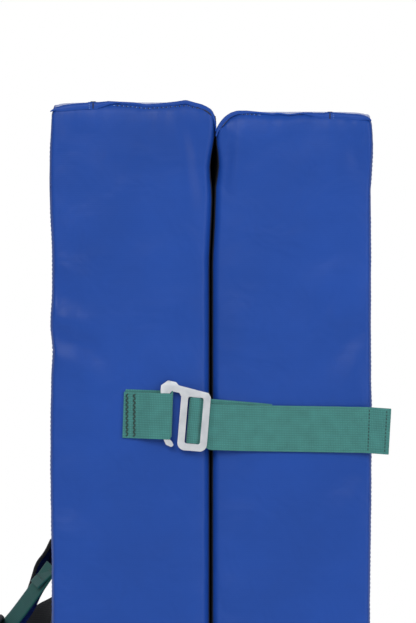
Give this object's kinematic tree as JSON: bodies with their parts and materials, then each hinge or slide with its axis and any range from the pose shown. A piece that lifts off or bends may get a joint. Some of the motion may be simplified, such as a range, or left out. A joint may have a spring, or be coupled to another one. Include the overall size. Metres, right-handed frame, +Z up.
{
  "type": "folding rescue mat",
  "caption": "Foam-filled mat that folds like a book, closed by webbing straps with hook buckles and carried by a shoulder harness on its back.",
  "frame": {"origin": "middle of the bottom end face of the half that carries the harness", "axes": "+Z up along the mat's length as it stands closed on its end, -Y towards the closing side with the straps and hook buckles, +Y towards the spine, +X from the harness half through the fold to the other half"},
  "size_m": [0.3488, 0.6348, 1.0105],
  "materials": {
    "coated_fabric": "satin",
    "landing_fabric": "matte",
    "foam": "matte",
    "webbing": "matte",
    "harness_fabric": "matte",
    "aluminium": "satin",
    "buckle_plastic": "matte",
    "grip_rubber": "matte",
    "zip_metal": "satin"
  },
  "bodies": {
    "carry_half": {"carry_side_wall": "coated_fabric", "carry_base_sheet": "coated_fabric", "carry_landing_sheet": "landing_fabric", "carry_landing_foam": "foam", "carry_core_foam": "foam", "carry_base_foam": "foam", "hinge_strip": "landing_fabric", "upper_loop": "webbing", "lower_loop": "webbing", "carry_handle": "webbing", "carry_handle_grip": "grip_rubber", "harness_yoke": "harness_fabric", "left_shoulder_pad": "harness_fabric", "right_shoulder_pad": "harness_fabric", "left_pad_webbing": "webbing", "right_pad_webbing": "webbing", "left_lifter": "webbing", "right_lifter": "webbing", "left_lifter_lock": "buckle_plastic", "right_lifter_lock": "buckle_plastic", "left_lower_lock": "buckle_plastic", "right_lower_lock": "buckle_plastic", "left_lower_strap": "webbing", "right_lower_strap": "webbing", "left_lower_tail": "webbing", "right_lower_tail": "webbing", "left_foot_patch": "harness_fabric", "right_foot_patch": "harness_fabric", "carry_zip": "harness_fabric"},
    "swing_half": {"swing_side_wall": "coated_fabric", "swing_base_sheet": "coated_fabric", "swing_landing_sheet": "landing_fabric", "swing_landing_foam": "foam", "swing_core_foam": "foam", "swing_base_foam": "foam", "hinge_flap": "landing_fabric", "upper_anchor": "webbing", "lower_anchor": "webbing", "swing_handle": "webbing", "swing_handle_grip": "grip_rubber", "swing_zip": "harness_fabric"},
    "upper_hook": {"upper_hook": "aluminium", "upper_strap": "webbing"},
    "lower_hook": {"lower_hook": "aluminium", "lower_strap": "webbing"},
    "carry_slider": {"carry_zip_slider": "zip_metal"},
    "swing_slider": {"swing_zip_slider": "zip_metal"},
    "carry_pull": {"carry_zip_pull": "zip_metal"},
    "swing_pull": {"swing_zip_pull": "zip_metal"}
  },
  "joints": [
    {"name": "fold", "type": "hinge", "parent": "carry_half", "child": "swing_half", "pos_m": [0.0668, 0.3015, 0], "axis": [0, 0, 1], "range_deg": [0, 180]},
    {"name": "upper_hook_lift", "type": "slide", "parent": "swing_half", "child": "upper_hook", "axis": [0, 0, 1], "range_m": [0, 0.05]},
    {"name": "lower_hook_lift", "type": "slide", "parent": "swing_half", "child": "lower_hook", "axis": [0, 0, 1], "range_m": [0, 0.05]},
    {"name": "carry_zip_run", "type": "slide", "parent": "carry_half", "child": "carry_slider", "axis": [0, 1, 0], "range_m": [-0.498, 0]},
    {"name": "carry_pull_swing", "type": "hinge", "parent": "carry_slider", "child": "carry_pull", "pos_m": [-0.0315, 0.2506, 1.0076], "axis": [-1, 0, 0], "range_deg": [0, 165]},
    {"name": "swing_zip_run", "type": "slide", "parent": "swing_half", "child": "swing_slider", "axis": [0, 1, 0], "range_m": [-0.498, 0]},
    {"name": "swing_pull_swing", "type": "hinge", "parent": "swing_slider", "child": "swing_pull", "pos_m": [0.1651, 0.2506, 0.9996], "axis": [-1, 0, 0], "range_deg": [0, 165]}
  ]
}
